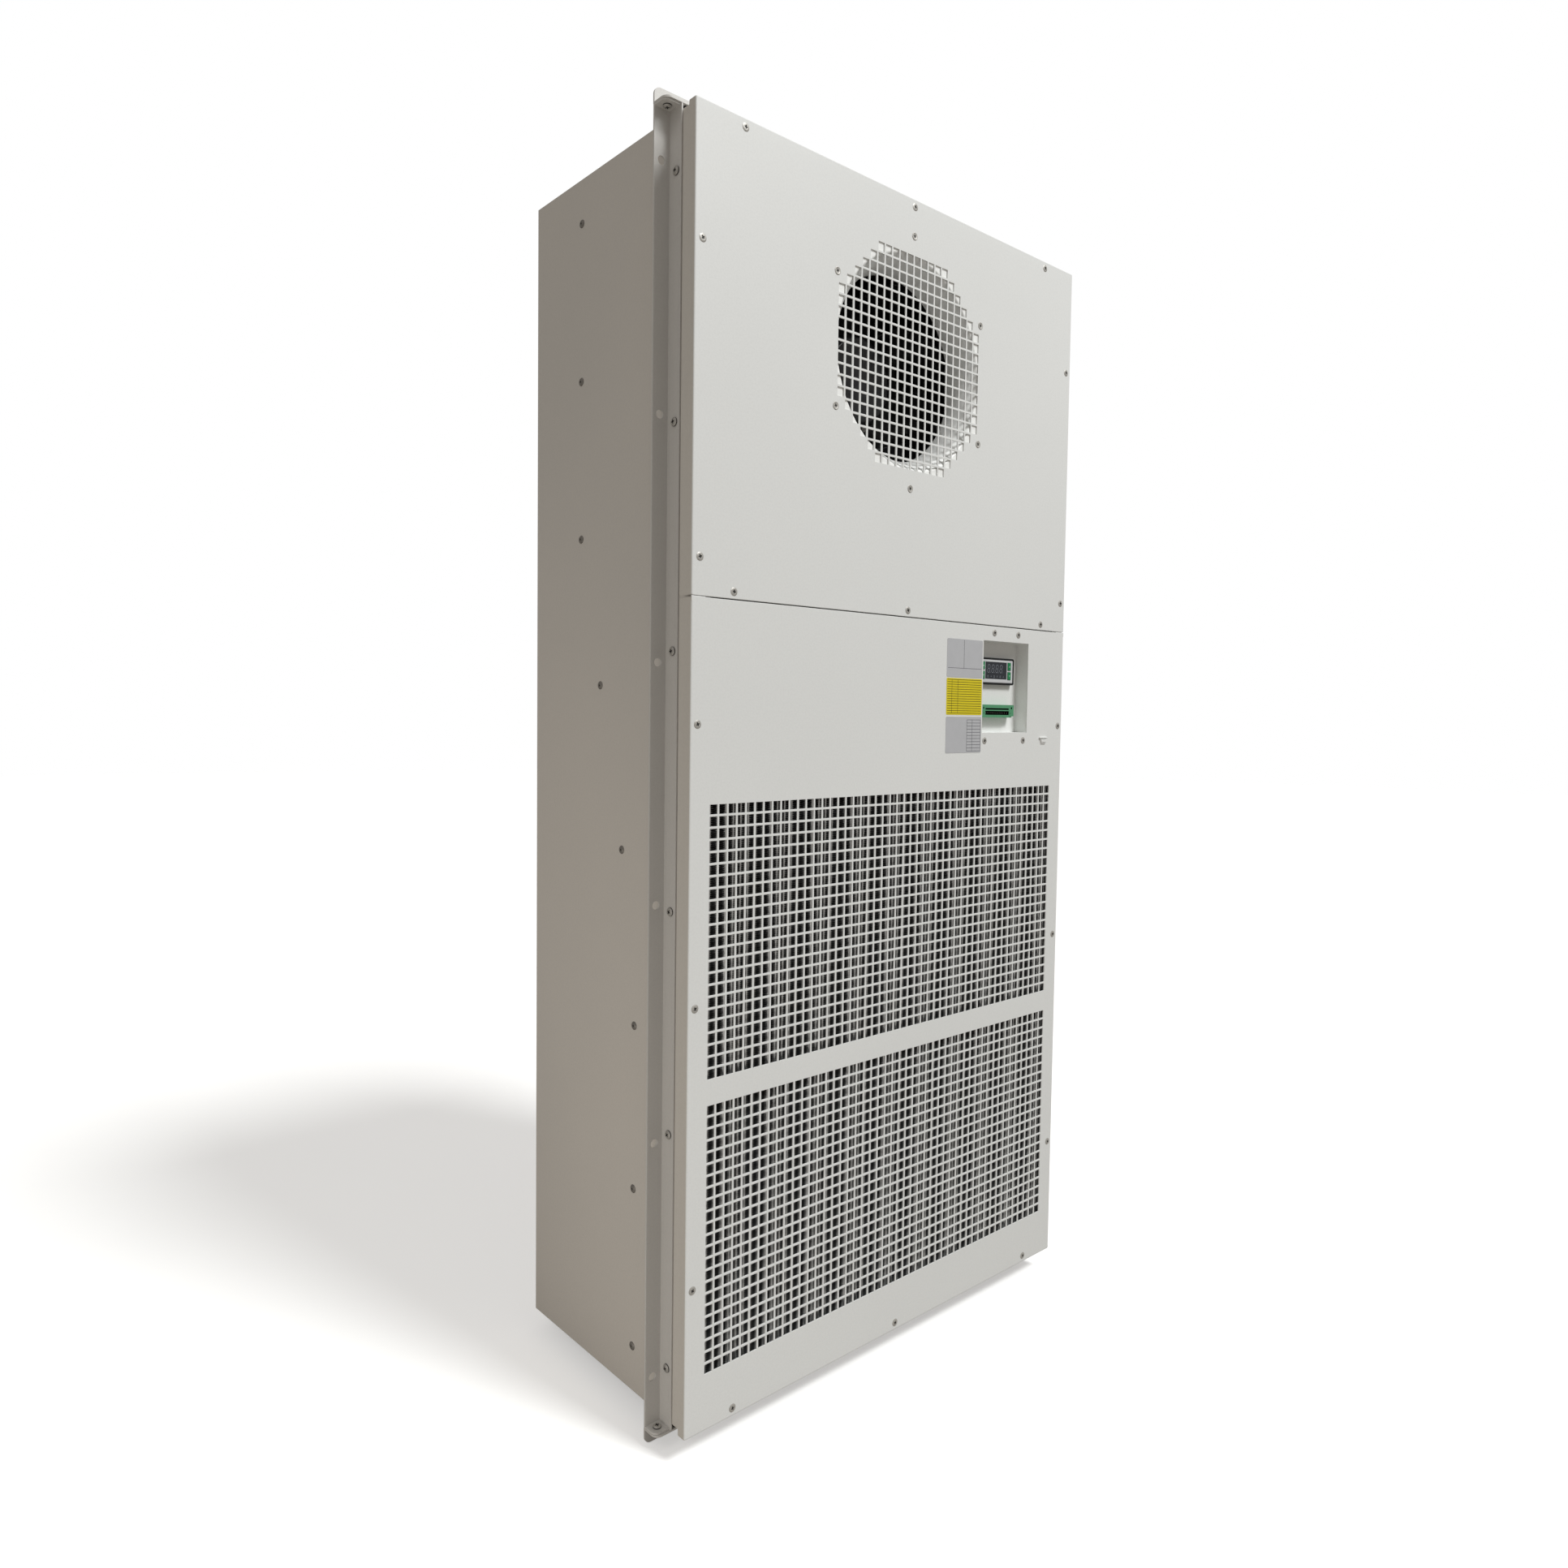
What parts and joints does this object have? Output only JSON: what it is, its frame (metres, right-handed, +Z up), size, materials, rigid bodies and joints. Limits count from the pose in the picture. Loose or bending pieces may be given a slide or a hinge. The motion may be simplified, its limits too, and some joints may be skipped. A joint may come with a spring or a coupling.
{
  "type": "enclosure heat exchanger",
  "caption": "Tall flange-mounted heat exchanger for an equipment enclosure, with perforated front covers, radial fans, flat-tube coils and a recessed controller with a plug-in terminal header.",
  "frame": {"origin": "centre of the flange bolt pattern on the rear face of the mounting flange", "axes": "+Z up along the height, +Y from the front covers to the rear, +X to the right seen from the front"},
  "size_m": [0.671, 0.3281, 1.412],
  "materials": {
    "cover_paint": "fine textured powder coat, warm off-white",
    "cabinet_paint": "fine textured powder coat, warm light grey",
    "flange_paint": "satin powder coat, light grey",
    "galvanised_sheet": "galvanised sheet",
    "coil_aluminium": "mill finish",
    "pipe_copper": "drawn copper",
    "pump_body": "satin black coat",
    "impeller_black": "moulded black",
    "rotor_black": "satin black coat",
    "motor_aluminium": "die cast",
    "zinc_screw": "bright zinc",
    "seal_rubber": "closed-cell foam",
    "bezel_plastic": "moulded, satin",
    "display_dark": "smoked window",
    "key_green": "moulded key",
    "header_green": "moulded",
    "pin_metal": "tinned",
    "board_green": "solder mask",
    "label_grey": "satin film",
    "label_yellow": "satin film"
  },
  "bodies": {
    "cabinet": {"bottom_panel": "cabinet_paint", "circulation_pump": "pump_body", "coil_side_plates": "galvanised_sheet", "control_board": "board_green", "controller_bezel": "bezel_plastic", "controller_housing": "bezel_plastic", "corner_screws": "zinc_screw", "cover_screws": "zinc_screw", "display_window": "display_dark", "electrical_box": "galvanised_sheet", "electrical_box_lid": "galvanised_sheet", "fan_motor_screws": "zinc_screw", "fan_ring_screws": "zinc_screw", "flange_gasket": "seal_rubber", "front_coil_fins": "coil_aluminium", "front_coil_headers": "coil_aluminium", "front_coil_tubes": "coil_aluminium", "front_fan_bracket": "galvanised_sheet", "front_fan_stator": "motor_aluminium", "front_frame": "galvanised_sheet", "front_inlet_ring": "cover_paint", "label_yellow": "label_yellow", "labels_grey": "label_grey", "liquid_pipes": "pipe_copper", "lower_cover": "cover_paint", "partition": "galvanised_sheet", "pump_bracket": "galvanised_sheet", "rail_bottom": "flange_paint", "rail_left": "flange_paint", "rail_packing": "seal_rubber", "rail_right": "flange_paint", "rail_screws": "zinc_screw", "rail_top": "flange_paint", "rear_coil_fins": "coil_aluminium", "rear_coil_headers": "coil_aluminium", "rear_coil_tubes": "coil_aluminium", "rear_fan_bracket": "galvanised_sheet", "rear_fan_stator": "motor_aluminium", "rear_inlet_ring": "cover_paint", "rear_panel": "cabinet_paint", "recess_tray": "cover_paint", "side_panel_left": "cabinet_paint", "side_panel_right": "cabinet_paint", "side_rivets": "zinc_screw", "terminal_header": "header_green", "terminal_pins": "pin_metal", "top_panel": "cabinet_paint", "upper_cover": "cover_paint", "vapour_pipe": "pipe_copper"},
    "front_fan": {"front_fan_impeller": "impeller_black", "front_fan_rotor": "rotor_black", "front_impeller_screws": "zinc_screw"},
    "rear_fan": {"rear_fan_impeller": "impeller_black", "rear_fan_rotor": "rotor_black", "rear_impeller_screws": "zinc_screw"},
    "key_up": {"button_up": "key_green"},
    "key_down": {"button_down": "key_green"},
    "key_set": {"button_set": "key_green"},
    "key_back": {"button_back": "key_green"}
  },
  "joints": [
    {"name": "front_fan_spin", "type": "hinge", "parent": "cabinet", "child": "front_fan", "pos_m": [0, 0.05, 0.489], "axis": [0, -1, 0], "continuous": true},
    {"name": "rear_fan_spin", "type": "hinge", "parent": "cabinet", "child": "rear_fan", "pos_m": [0, 0.161, -0.489], "axis": [0, 1, 0], "continuous": true},
    {"name": "key_up_press", "type": "slide", "parent": "cabinet", "child": "key_up", "axis": [0, 1, 0], "range_m": [0, 0.0006], "stiffness_N_per_m": 300, "springref_m": -0.0005},
    {"name": "key_down_press", "type": "slide", "parent": "cabinet", "child": "key_down", "axis": [0, 1, 0], "range_m": [0, 0.0006], "stiffness_N_per_m": 300, "springref_m": -0.0005},
    {"name": "key_set_press", "type": "slide", "parent": "cabinet", "child": "key_set", "axis": [0, 1, 0], "range_m": [0, 0.0006], "stiffness_N_per_m": 300, "springref_m": -0.0005},
    {"name": "key_back_press", "type": "slide", "parent": "cabinet", "child": "key_back", "axis": [0, 1, 0], "range_m": [0, 0.0006], "stiffness_N_per_m": 300, "springref_m": -0.0005}
  ]
}
